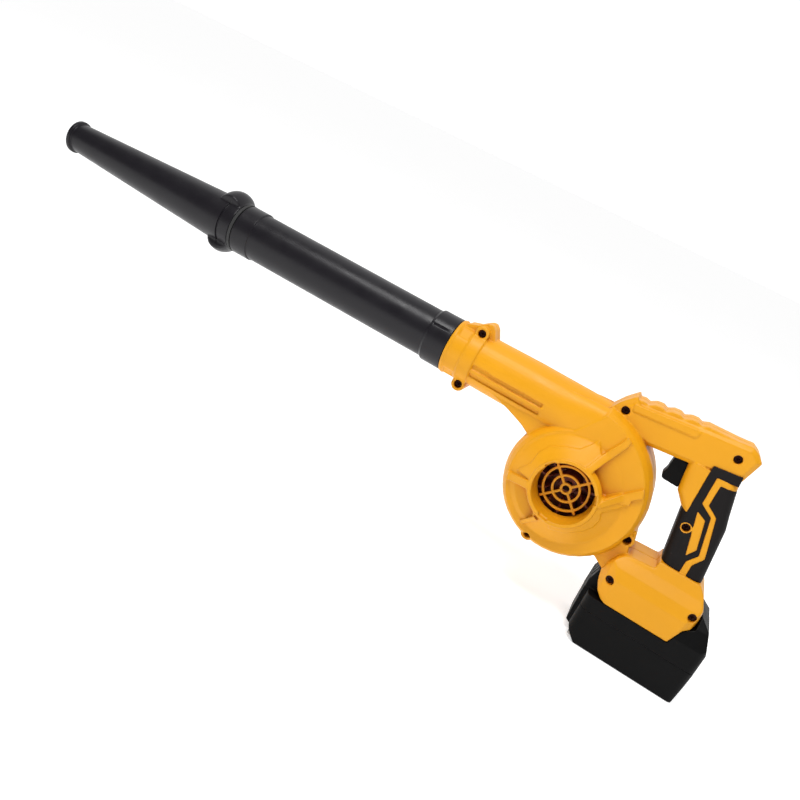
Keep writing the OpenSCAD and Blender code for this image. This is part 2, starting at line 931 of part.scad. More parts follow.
// Rounded plan of the pack, made smaller all round by inset
module pack_plan(inset) {
    corner = 9;
    for (x = [-pack_x / 2 + corner, 58.4 - corner])
        for (y = [-1, 1])
            translate([x, y * (foot_y - corner)]) circle(r = corner - inset);
    square_y = foot_y - inset;
    translate([-pack_x / 2 + corner, -square_y]) square([pack_x - 2 * corner, 2 * square_y]);
    translate([-pack_x / 2 + inset, -foot_y + corner])
        square([pack_x + 0.4 - 2 * inset, 2 * (foot_y - corner)]);
}

module pack_body(z0, z1, inset) {
    translate([0, 0, z0]) linear_extrude(z1 - z0) pack_plan(inset);
}

module pack_columns(z0, z1, r) {
    for (p = pack_screws)
        translate([p[0], p[1], z0]) cylinder(h = z1 - z0, r = r);
}

module battery_lower_case() {
    color(soft_black)
        difference() {
            union() {
                difference() {
                    intersection() {
                        side(-foot_y, foot_y) pack_outline();
                        pack_body(-1, seam_z, 0);
                    }
                    intersection() {
                        pack_body(2.5, seam_z + 1, 2.4);
                        side(-foot_y, foot_y) polygon([[-46.5, 2], [-52.5, 9],
                            [-55.6, 14], [-55.6, 40], [56, 40], [55.4, 30], [52.2, 2]]);
                    }
                }
                pack_columns(8, seam_z, 3.4);
                lower_nose();
            }
            pack_columns(-1, 6, 3);
            pack_columns(5, seam_z + 1, 1.45);
        }
}

// Upper case: deck, rear hump, front nose, and the tower with its two rails
module battery_upper_case() {
    color(soft_black)
        difference() {
            union() {
                pack_body(seam_z + 0.02, pack_z, 0);
                hump();
                tower();
                pack_nose();
            }
            difference() {
                pack_body(seam_z - 1, pack_z - 2.5, 2.4);
                pack_columns(seam_z - 2, pack_z, 3.4);
            }
            front(-40, 34) polygon([[-17.5, 40], [-17.5, 67.5], [17.5, 67.5], [17.5, 40]]);
            for (y = blade_y)
                translate([-70, y - 1, 58.5]) cube([54, 2, 20]);
            side(-30, 30) polygon([[27, pack_z - 3], [33, 61], [41, 66], [41, pack_z - 3]]);
            button_pocket();
            nose_grooves();
            pack_columns(seam_z - 1, pack_z - 3, 1.3);
        }
}

// Rear hump, which closes the channel's rear end
module hump() {
    intersection() {
        side(-foot_y, foot_y) polygon([[22.9, pack_z - 1], [24, 53], [29, 66.3], [38.6, 72.2],
            [38.6, 84.5], [50, 75.7], [58.4, 55], [58.4, pack_z - 1]]);
        pack_body(pack_z - 2, 90, 0);
        front(0, 70) polygon([[-foot_y, 40], [-foot_y, 58], [-foot_y + 7, 74],
            [-foot_y + 17, 86], [foot_y - 17, 86], [foot_y - 7, 74], [foot_y, 58],
            [foot_y, 40]]);
    }
}

module tower() {
    side(-20, 20) polygon([[-62, pack_z - 1], [-62, 58], [-58.5, 70], [39, 70],
        [39, pack_z - 1]]);
    for (s = [-1, 1])
        translate([-50, s * 21.6 - 2, 60]) cube([88.7, 4, 4]);
}

// Stepped nose on the pack's front face
module pack_nose() {
    intersection() {
        side(-19, 19) polygon([[-56, 30], [-62.4, 33], [-62.4, 58], [-56, 60]]);
        translate([-70, -30, seam_z + 0.02]) cube([30, 60, 40]);
    }
}

module nose_grooves() {
    for (i = [0 : 3])
        translate([-63.4, -15, 38.5 + i * 5]) cube([1.8, 30, 2]);
}

module lower_nose() {
    intersection() {
        side(-19, 19) polygon([[-56, 6], [-61.4, 9], [-62.2, seam_z], [-56, seam_z]]);
        translate([-70, -30, 0]) cube([15, 60, seam_z]);
    }
}

module battery_cells() {
    color("steelblue")
        for (x = cell_columns)
            for (z = cell_rows)
                along_y(x, z, -cell_len / 2, cell_len / 2, cell_r, cell_r);
}

module cell_holders() {
    color("whitesmoke")
        difference() {
            for (y = holder_y)
                translate([-48.4, y, 4.4]) cube([96.8, 8, 36.1]);
            for (x = cell_columns)
                for (z = cell_rows)
                    along_y(x, z, -40, 40, cell_r + 0.15, cell_r + 0.15);
        }
}

// Nickel straps across the cell ends
module cell_straps() {
    color("silver")
        for (s = [-1, 1])
            for (x = [-38, 0])
                translate([x - 4, s * (cell_len / 2 + 0.3) - 0.2, 8]) cube([27, 0.4, 27]);
}

module battery_board() {
    color("darkgreen") translate([-34, -15, 44]) cube([62, 30, 1.6]);
}

// Clips that grip the tool's blades
module battery_terminals() {
    color("goldenrod")
        for (y = blade_y)
            for (s = [-1, 1])
                translate([-34, y + s * 0.95 - 0.4, 45.7]) cube([9, 0.8, 17]);
}

module battery_screws() {
    color("gray") {
        pack_columns(3.2, 6, 2.8);
        pack_columns(6, 46, 1.25);
    }
}

// Release button on the hump's rear slope
module on_slope() {
    translate(button_at) rotate([0, button_lean, 0]) children();
}

module button_pocket() {
    on_slope() translate([-8.5, -13.5, -9]) cube([17, 27, 22]);
}

module release_button() {
    color(tube_black)
        on_slope()
            difference() {
                translate([-8, -13, -2.2]) cube([16, 26, 3]);
                for (i = [-2 : 2])
                    translate([i * 2.8 - 0.5, -11, 0.3]) cube([1, 22, 2]);
            }
}

module release_spring() {
    color("silver")
        on_slope()
            translate([0, 0, -8.9])
                coil(2.6, 0.35, 6.6, 4);
}

housing_right();
housing_left();
intake_guard();
grip_overmould_right();
grip_overmould_left();
housing_screws();
fan_back_plate();
motor_can();
motor_magnets();
motor_end_bell();
motor_brushes();
motor_bearings();
motor_screws();
rotor_shaft();
armature();
commutator();
impeller();
impeller_nut();
trigger();
trigger_spring();
trigger_switch();
controller_board();
heat_sink();
terminal_block();
terminal_blades();
motor_leads();
battery_leads();
collar_seal();
blower_tube();
nozzle_seal();
nozzle();
battery_lower_case();
battery_upper_case();
battery_cells();
cell_holders();
cell_straps();
battery_board();
battery_terminals();
battery_screws();
release_button();
release_spring();
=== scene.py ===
"""Looks of the cordless leaf blower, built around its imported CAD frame.

Every moulded piece starts from a copy of its CAD solid, so it keeps the CAD's size and place. It is
remeshed and relaxed, which gives it the small fillets of a real moulding. Turned pieces are lathed
afresh from their profiles. Lengths are in millimetres here and become metres in the meshes.
"""

import json
import math

import bmesh
import bpy
import numpy as np
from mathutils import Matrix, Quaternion, Vector


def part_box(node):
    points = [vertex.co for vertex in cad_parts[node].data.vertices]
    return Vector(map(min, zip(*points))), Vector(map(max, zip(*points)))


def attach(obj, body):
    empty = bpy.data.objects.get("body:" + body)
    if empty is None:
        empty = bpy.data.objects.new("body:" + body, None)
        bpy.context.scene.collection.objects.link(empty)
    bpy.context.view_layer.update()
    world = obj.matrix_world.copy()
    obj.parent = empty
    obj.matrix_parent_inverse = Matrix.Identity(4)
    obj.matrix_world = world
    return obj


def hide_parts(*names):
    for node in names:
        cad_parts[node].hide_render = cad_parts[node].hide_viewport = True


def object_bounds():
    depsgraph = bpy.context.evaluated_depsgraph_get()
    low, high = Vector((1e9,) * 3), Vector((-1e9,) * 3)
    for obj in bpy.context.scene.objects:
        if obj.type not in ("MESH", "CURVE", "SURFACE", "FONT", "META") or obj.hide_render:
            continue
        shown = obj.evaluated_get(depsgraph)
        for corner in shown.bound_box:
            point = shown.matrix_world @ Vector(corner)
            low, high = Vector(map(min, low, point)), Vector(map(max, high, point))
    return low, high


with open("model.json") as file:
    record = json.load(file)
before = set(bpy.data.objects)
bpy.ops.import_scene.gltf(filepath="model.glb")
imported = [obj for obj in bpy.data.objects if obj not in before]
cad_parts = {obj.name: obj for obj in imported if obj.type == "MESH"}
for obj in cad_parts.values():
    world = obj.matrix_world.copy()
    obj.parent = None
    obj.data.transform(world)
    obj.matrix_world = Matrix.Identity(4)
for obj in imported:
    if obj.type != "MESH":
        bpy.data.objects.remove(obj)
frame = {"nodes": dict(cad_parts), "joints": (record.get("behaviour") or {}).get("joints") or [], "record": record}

MM = 0.001
CAD_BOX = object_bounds()
SLOT_OF = {row["node"]: row["material_slot"] for row in frame["record"]["subparts"]}


def box_mm(node):
    """Lowest and highest corner of a CAD node in millimetres."""
    low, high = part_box(node)
    return low / MM, high / MM


# ---- Driving dimensions, read from the frame ----

TUBE_LOW, TUBE_HIGH = box_mm("blower_tube")
NOZZLE_LOW, NOZZLE_HIGH = box_mm("nozzle")
ROTOR = next(j for j in frame["joints"] if j["name"] == "fan_spin")
FAN_X = ROTOR["pos_m"][0] / MM
AXIS_Z = (TUBE_LOW.z + TUBE_HIGH.z) / 2
TIP_X = NOZZLE_LOW.x
JOINT_X = NOZZLE_HIGH.x + 0.1
SPIGOT = 26.0
COLLAR_X = TUBE_HIGH.x - SPIGOT

# Turned pieces: points round the axis, and points in a corner's fillet
AROUND = 192
FILLET_STEPS = 5

# Remeshing: the edge of a voxel, a finer one for small pieces, and the most triangles of a piece
VOXEL = 0.7
FINE_VOXEL = 0.5
MOST_FACES = 185000

# Relaxing: how far a point moves to its neighbours' middle in a round, and the steps of a share
RELAX = 0.5
SHARE_STEPS = 5


# ---- Mesh tools ----

def link(name, mesh):
    """A new object of that mesh in the scene."""
    obj = bpy.data.objects.new(name, mesh)
    bpy.context.scene.collection.objects.link(obj)
    return obj


def mesh_from(verts, faces):
    """A mesh from points in millimetres, with its faces turned outwards."""
    mesh = bpy.data.meshes.new("shape")
    mesh.from_pydata([[c * MM for c in v] for v in verts], [], faces)
    bm = bmesh.new()
    bm.from_mesh(mesh)
    bmesh.ops.recalc_face_normals(bm, faces=bm.faces)
    bm.to_mesh(mesh)
    bm.free()
    return mesh


def loft(rings, closed=False):
    """Faces between rings of equally many points; closed joins the last ring to the first."""
    count = len(rings[0])
    verts = [p for ring in rings for p in ring]
    faces = []
    pairs = len(rings) if closed else len(rings) - 1
    for i in range(pairs):
        a = i * count
        b = ((i + 1) % len(rings)) * count
        for j in range(count):
            k = (j + 1) % count
            faces.append((a + j, a + k, b + k, b + j))
    if not closed:
        faces.append(tuple(range(count)))
        faces.append(tuple(range(len(verts) - count, len(verts))))
    return mesh_from(verts, faces)


def prism(outline, y0, y1):
    """A side profile of (x, z) points, from y0 to y1."""
    return loft([[(x, y0, z) for x, z in outline], [(x, y1, z) for x, z in outline]])


def rod_y(x, z, y0, y1, r0, r1, sides=64):
    """A cylinder or cone along Y."""
    turns = [2 * math.pi * i / sides for i in range(sides)]
    return loft([[(x + r * math.cos(t), y, z + r * math.sin(t)) for t in turns]
                 for y, r in ((y0, r0), (y1, r1))])


def join(name, meshes):
    """One mesh that holds all of these as separate closed shells."""
    bm = bmesh.new()
    for mesh in meshes:
        bm.from_mesh(mesh)
    joined = bpy.data.meshes.new(name)
    bm.to_mesh(joined)
    bm.free()
    return joined


def cad_mesh(*nodes):
    """A welded copy of CAD nodes' meshes."""
    bm = bmesh.new()
    for node in nodes:
        bm.from_mesh(frame["nodes"][node].data)
    bmesh.ops.remove_doubles(bm, verts=bm.verts, dist=1e-6)
    mesh = bpy.data.meshes.new("copy")
    bm.to_mesh(mesh)
    bm.free()
    return mesh


def settle(obj):
    """Applies the object's modifiers to its mesh."""
    view = bpy.context.evaluated_depsgraph_get()
    mesh = bpy.data.meshes.new_from_object(obj.evaluated_get(view))
    obj.modifiers.clear()
    obj.data = mesh


def remesh(obj, voxel):
    """Merges the object's shells into one even skin."""
    step = obj.modifiers.new("remesh", "REMESH")
    step.mode = "VOXEL"
    step.voxel_size = voxel * MM
    settle(obj)


def cut(obj, mesh, operation="DIFFERENCE"):
    """Takes a solid away from the object, or keeps what they share."""
    tool = link("tool", mesh)
    step = obj.modifiers.new("cut", "BOOLEAN")
    step.operation = operation
    step.solver = "MANIFOLD"
    step.object = tool
    settle(obj)
    bpy.data.objects.remove(tool)


def points_of(mesh):
    """The mesh's points in millimetres, one row each."""
    flat = np.zeros(len(mesh.vertices) * 3, np.float32)
    mesh.vertices.foreach_get("co", flat)
    return flat.reshape(-1, 3).astype(float) / MM


def relax(obj, rounds, where=None):
    """Rounds every edge a little; where(points) gives each point's share from 0 to 1."""
    step = obj.modifiers.new("relax", "SMOOTH")
    step.factor = RELAX
    step.iterations = rounds
    if where is not None:
        share = np.clip(where(points_of(obj.data)), 0, 1)
        group = obj.vertex_groups.new(name="relax")
        for level in range(1, SHARE_STEPS + 1):
            chosen = np.nonzero(np.round(share * SHARE_STEPS) == level)[0]
            group.add([int(i) for i in chosen], level / SHARE_STEPS, "REPLACE")
        step.vertex_group = "relax"
    settle(obj)


def thin_out(obj):
    """Keeps the number of triangles under the limit."""
    count = sum(len(p.vertices) - 2 for p in obj.data.polygons)
    if count > MOST_FACES:
        step = obj.modifiers.new("thin", "DECIMATE")
        step.ratio = MOST_FACES / count
        settle(obj)


def shade_smooth(mesh):
    """Smooth shading on every face."""
    mesh.polygons.foreach_set("use_smooth", [True] * len(mesh.polygons))
    mesh.update()


def finish_piece(obj, body, slot, nodes):
    """Smooth shading, material, the body it rides on and the CAD nodes it stands for."""
    shade_smooth(obj.data)
    obj.data.materials.clear()
    obj.data.materials.append(material(slot))
    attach(obj, body)
    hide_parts(*nodes)


def moulded(name, body, nodes, voxel, rounds, adds=(), soft=None):
    """A moulded piece: its CAD solids and the shapes added to them, as one skin with small fillets."""
    obj = link(name, join(name, [cad_mesh(*nodes), *adds]))
    remesh(obj, voxel)
    if soft is not None:
        relax(obj, soft[0], where=soft[1])
    relax(obj, rounds)
    thin_out(obj)
    finish_piece(obj, body, SLOT_OF[nodes[0]], nodes)


# ---- Turned pieces ----

def rounded(points, radii):
    """A closed profile with its corners rounded, and support points beside each fillet."""
    out = []
    count = len(points)
    for i, corner in enumerate(points):
        here = Vector(corner)
        back = Vector(points[i - 1]) - here
        ahead = Vector(points[(i + 1) % count]) - here
        angle = back.angle(ahead)
        reach = radii[i] / math.tan(angle / 2) if angle < math.pi - 0.02 else 0
        reach = min(reach, 0.45 * back.length, 0.45 * ahead.length)
        if reach < 0.02:
            out.append(tuple(here))
            continue
        start = here + back.normalized() * reach
        end = here + ahead.normalized() * reach
        out.append(tuple(here + back.normalized() * min(1.25 * reach, 0.49 * back.length)))
        for k in range(FILLET_STEPS + 1):
            t = k / FILLET_STEPS
            out.append(tuple(start * (1 - t) ** 2 + here * 2 * t * (1 - t) + end * t * t))
        out.append(tuple(here + ahead.normalized() * min(1.25 * reach, 0.49 * ahead.length)))
    return out


def divided(profile, step, x0, x1):
    """The profile with extra points where it runs along the axis between x0 and x1."""
    out = []
    for i, point in enumerate(profile):
        follow = profile[(i + 1) % len(profile)]
        out.append(point)
        length = math.dist(point, follow)
        middle = (point[0] + follow[0]) / 2
        if length > step and x0 < middle < x1 or length > 40:
            parts = int(length / step) if x0 < middle < x1 else int(length / 20)
            for k in range(1, parts):
                t = k / parts
                out.append((point[0] + (follow[0] - point[0]) * t, point[1] + (follow[1] - point[1]) * t))
    return out


def lathe(profile, swell=None):
    """A closed profile of (x, radius) turned about the tube's axis; swell(x, radius, angle) adds to it."""
    rings = []
    for i in range(AROUND):
        t = 2 * math.pi * i / AROUND
        ring = []
        for x, r in profile:
            grown = r + (swell(x, r, t) if swell else 0)
            ring.append((x, grown * math.cos(t), AXIS_Z + grown * math.sin(t)))
        rings.append(ring)
    return loft(rings, closed=True)


def ease(t):
    """A smooth step from 0 to 1."""
    t = min(1.0, max(0.0, t))
    return t * t * (3 - 2 * t)


EAR_X = JOINT_X - 14.0
EAR_PEAK = 34.0
EAR_ROUND = 13.8
EAR_SPREAD = math.radians(38)
EAR_EDGE = math.radians(5)


def ear(x, radius, angle):
    """How far the nozzle's two finger ears stand out from its skin."""
    if abs(x - EAR_X) >= EAR_ROUND or radius < 24.5:
        return 0
    top = EAR_PEAK - EAR_ROUND + math.sqrt(EAR_ROUND ** 2 - (x - EAR_X) ** 2)
    from_vertical = abs(abs(math.sin(angle)) - 1)
    away = math.acos(1 - from_vertical)
    return max(0, top - radius) * ease((EAR_SPREAD - away) / EAR_EDGE)


def mouth_radius():
    """Radius of the nozzle's mouth, from the record's mount."""
    mount = next(m for m in frame["record"]["mounts"] if m["name"] == "nozzle_mouth")
    return mount["dims"]["r_mm"]


def nozzle_piece():
    """The tapered nozzle with its rolled lip, its ears and the groove before its joint collar."""
    bore = mouth_radius()
    outline = [(TIP_X, 15.4), (TIP_X, 18.1), (TIP_X + 4.2, 18.1), (TIP_X + 4.6, 15.9),
               (EAR_X - 15, 25.2), (JOINT_X - 14.8, 26.2), (JOINT_X - 14.4, 24.8),
               (JOINT_X - 12.4, 24.8), (JOINT_X - 12.2, 26.1), (JOINT_X - 0.1, 26.5),
               (JOINT_X - 0.1, 24.05), (JOINT_X - 27, 24.05), (TIP_X + 14, bore), (TIP_X, bore)]
    radii = [0.3, 1.9, 1.9, 1.2, 1, 0.3, 0.2, 0.2, 0.5, 1.3, 0.4, 2, 6, 0.6]
    profile = divided(rounded(outline, radii), 1.1, EAR_X - 16, EAR_X + 15)
    obj = link("nozzle_skin", lathe(profile, ear))
    finish_piece(obj, "nozzle", SLOT_OF["nozzle"], ["nozzle"])


def tube_piece():
    """The middle tube with its two sleeves and the small nick at the rear one."""
    outline = [(JOINT_X - 24, 23.6), (JOINT_X + 4.4, 23.6), (JOINT_X + 4.4, 26.2), (JOINT_X + 24.4, 26.2),
               (JOINT_X + 25.2, 25), (COLLAR_X - 24.4, 25), (COLLAR_X - 21.9, 27), (COLLAR_X - 0.4, 27.2),
               (COLLAR_X - 0.4, 24.5), (COLLAR_X + 12, 24.5), (COLLAR_X + 12, 23.2),
               (COLLAR_X + 14.5, 23.2), (COLLAR_X + 14.5, 24.5), (COLLAR_X + 26, 24.5),
               (COLLAR_X + 26, 21.8), (COLLAR_X - 6, 21.8), (COLLAR_X - 8, 23.2), (JOINT_X + 8, 23.2),
               (JOINT_X + 4, 21.8), (JOINT_X - 24, 21.8)]
    radii = [0.6, 0.3, 1.3, 0.5, 0.3, 0.8, 0.9, 0.8, 0.3, 0.1, 0.1, 0.1, 0.1, 0.6, 0.4, 1, 1, 1, 1, 0.4]
    obj = link("tube_skin", lathe(divided(rounded(outline, radii), 200, 0, 1)))
    nick_r = 27.2
    nick_angle = math.radians(215)
    nick = rod_y(COLLAR_X - 21.5, AXIS_Z + nick_r * math.sin(-nick_angle),
                 nick_r * math.cos(nick_angle) - 3, nick_r * math.cos(nick_angle) + 1.2, 1.4, 1.4, 24)
    cut(obj, nick)
    finish_piece(obj, "tube", SLOT_OF["blower_tube"], ["blower_tube"])


# ---- Materials ----

def node_of(tree, kind, **values):
    """A new shader node with some inputs set by name."""
    node = tree.nodes.new(kind)
    for key, value in values.items():
        node.inputs[key.replace("_", " ")].default_value = value
    return node


def ramp(tree, factor, stops):
    """A colour ramp over a factor socket; stops are (place, colour)."""
    node = tree.nodes.new("ShaderNodeValToRGB")
    bar = node.color_ramp
    bar.elements[0].position, bar.elements[0].color = stops[0][0], (*stops[0][1], 1)
    bar.elements[1].position, bar.elements[1].color = stops[-1][0], (*stops[-1][1], 1)
    for place, colour in stops[1:-1]:
        bar.elements.new(place).color = (*colour, 1)
    tree.links.new(factor, node.inputs["Fac"])
    return node.outputs["Color"]


def scaled(colour, by):
    return tuple(min(1.0, c * by) for c in colour)


def noise(tree, where, scale, detail=3.0, roughness=0.55):
    """Fractal noise at a place socket."""
    node = node_of(tree, "ShaderNodeTexNoise", Scale=scale, Detail=detail, Roughness=roughness)
    tree.links.new(where, node.inputs["Vector"])
    return node.outputs["Fac"]


def mix(tree, factor, a, b, kind="MIX"):
    """Mixes two colour sockets by a factor socket or number."""
    node = tree.nodes.new("ShaderNodeMix")
    node.data_type = "RGBA"
    node.blend_type = kind
    if isinstance(factor, float):
        node.inputs[0].default_value = factor
    else:
        tree.links.new(factor, node.inputs[0])
    tree.links.new(a, node.inputs[6])
    tree.links.new(b, node.inputs[7])
    return node.outputs[2]


def spread(tree, factor, low, high):
    """Maps a factor from its middle range to low..high."""
    node = node_of(tree, "ShaderNodeMapRange", From_Min=0.3, From_Max=0.7, To_Min=low, To_Max=high)
    tree.links.new(factor, node.inputs["Value"])
    return node.outputs["Result"]


def surface(slot, colour, rough, vary=0.06, grain=900.0, grain_depth=0.00002, wear=1.12, hollow_dark=0.8,
            metallic=0.0, coat=0.0, stretch=(1, 1, 1), pattern=None, specular=0.5):
    """A worn, slightly uneven surface: broad tone changes, fine grain, pale edges and dark hollows."""
    made = bpy.data.materials.new(slot)
    made.use_nodes = True
    tree = made.node_tree
    shader = tree.nodes["Principled BSDF"]
    shader.inputs["Metallic"].default_value = metallic
    shader.inputs["Coat Weight"].default_value = coat
    shader.inputs["Specular IOR Level"].default_value = specular
    place = tree.nodes.new("ShaderNodeTexCoord").outputs["Object"]
    turned = tree.nodes.new("ShaderNodeMapping")
    turned.inputs["Scale"].default_value = stretch
    tree.links.new(place, turned.inputs["Vector"])
    place = turned.outputs["Vector"]
    broad = noise(tree, place, 14.0)
    tone = ramp(tree, broad, [(0.3, scaled(colour, 1 - vary)), (0.7, scaled(colour, 1 + vary))])
    if pattern:
        tone = pattern(tree, place, tone)
    # Darker in concave hollows and paler on sharp edges, by the mesh's pointiness.
    edge = tree.nodes.new("ShaderNodeNewGeometry").outputs["Pointiness"]
    shade = ramp(tree, edge, [(0.44, (hollow_dark,) * 3), (0.5, (1, 1, 1)), (0.56, (min(1, wear / 1.2),) * 3)])
    hollow = mix(tree, 1.0, tone, shade, "MULTIPLY")
    pale = ramp(tree, edge, [(0.52, (0, 0, 0)), (0.6, (wear - 1,) * 3)])
    tree.links.new(mix(tree, 1.0, hollow, pale, "ADD"), shader.inputs["Base Color"])
    fine = noise(tree, place, grain, 2.0)
    patchy = noise(tree, place, 60.0, 4.0)
    tree.links.new(spread(tree, patchy, rough - 0.05, rough + 0.07), shader.inputs["Roughness"])
    bump = node_of(tree, "ShaderNodeBump", Strength=1.0, Distance=grain_depth)
    tree.links.new(fine, bump.inputs["Height"])
    tree.links.new(bump.outputs["Normal"], shader.inputs["Normal"])
    return made


def striped(scale, dark):
    """A pattern of fine parallel lines, as wound wire or a laminated stack has."""
    def paint(tree, place, tone):
        wave = node_of(tree, "ShaderNodeTexWave", Scale=scale, Distortion=0.4)
        wave.bands_direction = "Y"
        tree.links.new(place, wave.inputs["Vector"])
        bands = ramp(tree, wave.outputs["Fac"], [(0.2, (dark,) * 3), (0.7, (1, 1, 1))])
        return mix(tree, 1.0, tone, bands, "MULTIPLY")
    return paint


def painted_recess_shade(deep, near):
    """A pattern of painted shade that darkens grooves and holes, by how much of the sky each point sees."""
    def paint(tree, place, tone):
        closed = node_of(tree, "ShaderNodeAmbientOcclusion", Distance=0.009)
        closed.samples = 6
        shade = ramp(tree, closed.outputs["AO"], [(0.12, deep), (0.5, near), (0.85, (1, 1, 1))])
        return mix(tree, 1.0, tone, shade, "MULTIPLY")
    return paint


def tracked(tree, place, tone):
    """Copper tracks under a board's solder mask."""
    grid = node_of(tree, "ShaderNodeTexBrick", Scale=160.0, Mortar_Size=0.035)
    grid.inputs["Color1"].default_value = (0.8, 0.8, 0.8, 1)
    grid.inputs["Color2"].default_value = (1, 1, 1, 1)
    grid.inputs["Mortar"].default_value = (1.6, 1.8, 1.1, 1)
    tree.links.new(place, grid.inputs["Vector"])
    return mix(tree, 1.0, tone, grid.outputs["Color"], "MULTIPLY")


YELLOW = (0.685, 0.3, 0.006)
# The colour of the painted shade at the rim of the shell's grooves and holes.
ORANGE_SHADE = (0.82, 0.58, 0.3)
LOOKS = {
    # The shell's pattern paints shade into its grooves and holes.
    "shell": dict(colour=YELLOW, rough=0.4, vary=0.03, grain=1500.0, wear=1.05, hollow_dark=0.86, specular=0.22,
                  pattern=painted_recess_shade((0.1, 0.04, 0.02), ORANGE_SHADE)),
    "soft_grip": dict(colour=(0.0065, 0.0052, 0.0052), specular=0.16, rough=0.62, grain=2600.0,
                      grain_depth=0.00006, wear=1.01),
    "tube_black": dict(colour=(0.0078, 0.0068, 0.0092), specular=0.26, rough=0.34, grain=1800.0, wear=1.01),
    "pack_black": dict(colour=(0.0026, 0.0026, 0.0027), specular=0.09, rough=0.5, grain=2200.0,
                       grain_depth=0.00005, wear=1.01),
    # The inner parts' dark red-brown is a painted reflection of the orange housing walls on the black impeller.
    "inner_black": dict(colour=(0.26, 0.045, 0.02), rough=0.5, wear=1.01),
    "steel": dict(colour=(0.2, 0.19, 0.18), rough=0.35, metallic=1.0, vary=0.15),
    # Dark red-brown painted shade with a painted orange reflection, for the screws and the fan's nut and shaft
    # deep in recesses.
    "screw_black": dict(colour=(0.03, 0.006, 0.003), rough=0.6, specular=0.06, vary=0.15, wear=1.01),
    "can_steel": dict(colour=(0.42, 0.42, 0.44), rough=0.3, metallic=1.0, vary=0.08, stretch=(1, 6, 1)),
    "magnet": dict(colour=(0.05, 0.05, 0.055), rough=0.6, metallic=0.4, vary=0.12),
    "bell_plastic": dict(colour=(0.62, 0.55, 0.4), rough=0.5),
    "carbon": dict(colour=(0.02, 0.02, 0.022), rough=0.7, vary=0.2),
    "winding": dict(colour=(0.45, 0.16, 0.05), rough=0.35, metallic=0.7, pattern=striped(260.0, 0.45)),
    "copper": dict(colour=(0.75, 0.36, 0.16), rough=0.28, metallic=1.0, vary=0.12),
    "board": dict(colour=(0.012, 0.09, 0.035), rough=0.35, coat=0.4, pattern=tracked),
    "sink": dict(colour=(0.6, 0.61, 0.62), rough=0.35, metallic=1.0, stretch=(1, 1, 8)),
    "lead_red": dict(colour=(0.36, 0.012, 0.008), rough=0.45, vary=0.1),
    "seal": dict(colour=(0.008, 0.008, 0.008), rough=0.7, vary=0.1, wear=1.01),
    "cell_wrap": dict(colour=(0.03, 0.12, 0.3), rough=0.25, coat=0.5, vary=0.08),
    "holder": dict(colour=(0.72, 0.72, 0.68), rough=0.5),
    "nickel": dict(colour=(0.55, 0.52, 0.46), rough=0.3, metallic=1.0, stretch=(6, 1, 1)),
    "button": dict(colour=(0.014, 0.014, 0.014), rough=0.35, wear=1.01),
}
# CAD nodes deep in recesses that are painted with shade instead of their own colour.
PAINTED_SHADE_NODES = ("housing_screws", "impeller_nut", "rotor_shaft")
MADE = {}


def material(slot):
    """The material of a slot, made once."""
    if slot not in MADE:
        MADE[slot] = surface(slot, **LOOKS[slot])
    return MADE[slot]


def dress_cad_nodes():
    """Gives every CAD node its slot's material; the screws, the impeller's nut and the shaft deep in the recesses
    get a dark red-brown of painted shade instead.
    """
    for name, obj in frame["nodes"].items():
        obj.data.materials.clear()
        slot = "screw_black" if name in PAINTED_SHADE_NODES else SLOT_OF[name]
        obj.data.materials.append(material(slot))


# ---- Housing ----

BLEND_STEPS = 16
BLEND_START = FAN_X - 56
BLEND_LENGTH = 57
BLEND_WALL = 2.4
DUCT_R = 26.3
PARTING_GAP = 17


def squared_ring(x, half_y, half_z, power):
    """A ring about the tube's axis, from round at power 1 to nearly square at 0.4."""
    ring = []
    for k in range(96):
        a = 2 * math.pi * k / 96
        c, s = math.cos(a), math.sin(a)
        ring.append((x, half_y * math.copysign(abs(c) ** power, c),
                     AXIS_Z + half_z * math.copysign(abs(s) ** power, s)))
    return ring


def duct_blend(side):
    """Carries one side of the round duct into the flat side of the scroll."""
    outer, inner = [], []
    for i in range(BLEND_STEPS + 1):
        t = i / BLEND_STEPS
        x = BLEND_START + BLEND_LENGTH * t
        power = 1 - 0.42 * ease(t)
        half_y = DUCT_R + 2.5 * ease(t)
        half_z = DUCT_R - 0.4 * ease(t)
        outer.append(squared_ring(x, half_y, half_z, power))
        inner.append(squared_ring(x, half_y - BLEND_WALL, half_z - BLEND_WALL, power))
    return side_of(loft(outer + inner[::-1], closed=True), side)


def side_of(mesh, side):
    """The part of a solid that lies well out on one side of the parting plane."""
    obj = link("side", mesh)
    low, high = (-200, -PARTING_GAP) if side < 0 else (PARTING_GAP, 200)
    cut(obj, prism([(-900, -10), (200, -10), (200, 300), (-900, 300)], low, high), "INTERSECT")
    kept = obj.data
    bpy.data.objects.remove(obj)
    return kept


def loose_centres(node):
    """The (x, z) centre of each separate solid in a CAD node."""
    bm = bmesh.new()
    bm.from_mesh(frame["nodes"][node].data)
    bmesh.ops.remove_doubles(bm, verts=bm.verts, dist=1e-6)
    centres = []
    left = set(bm.verts)
    while left:
        reached = [left.pop()]
        for vert in reached:
            for edge in vert.link_edges:
                other = edge.other_vert(vert)
                if other in left:
                    left.discard(other)
                    reached.append(other)
        xs = [v.co.x / MM for v in reached]
        zs = [v.co.z / MM for v in reached]
        centres.append(((min(xs) + max(xs)) / 2, (min(zs) + max(zs)) / 2))
    bm.free()
    return centres


SCREW_SPOTS = loose_centres("housing_screws")
WING_TIP = [(-77, 141), (-68, 142.3), (-66.5, 143.5), (-67, 149)]
WING_TOP = -31.8
WING_FOOT = -28.2


def shell_piece(name, node):
    """One housing half; on the intake side a small wedge closes the gap between a wing and its rib."""
    side = -1 if "right" in node else 1
    adds = [duct_blend(side)]
    if side < 0:
        adds.append(prism(WING_TIP, WING_TOP, WING_FOOT))
    moulded(name, "housing", [node], VOXEL, 4, adds, soft=(12, soft_share))


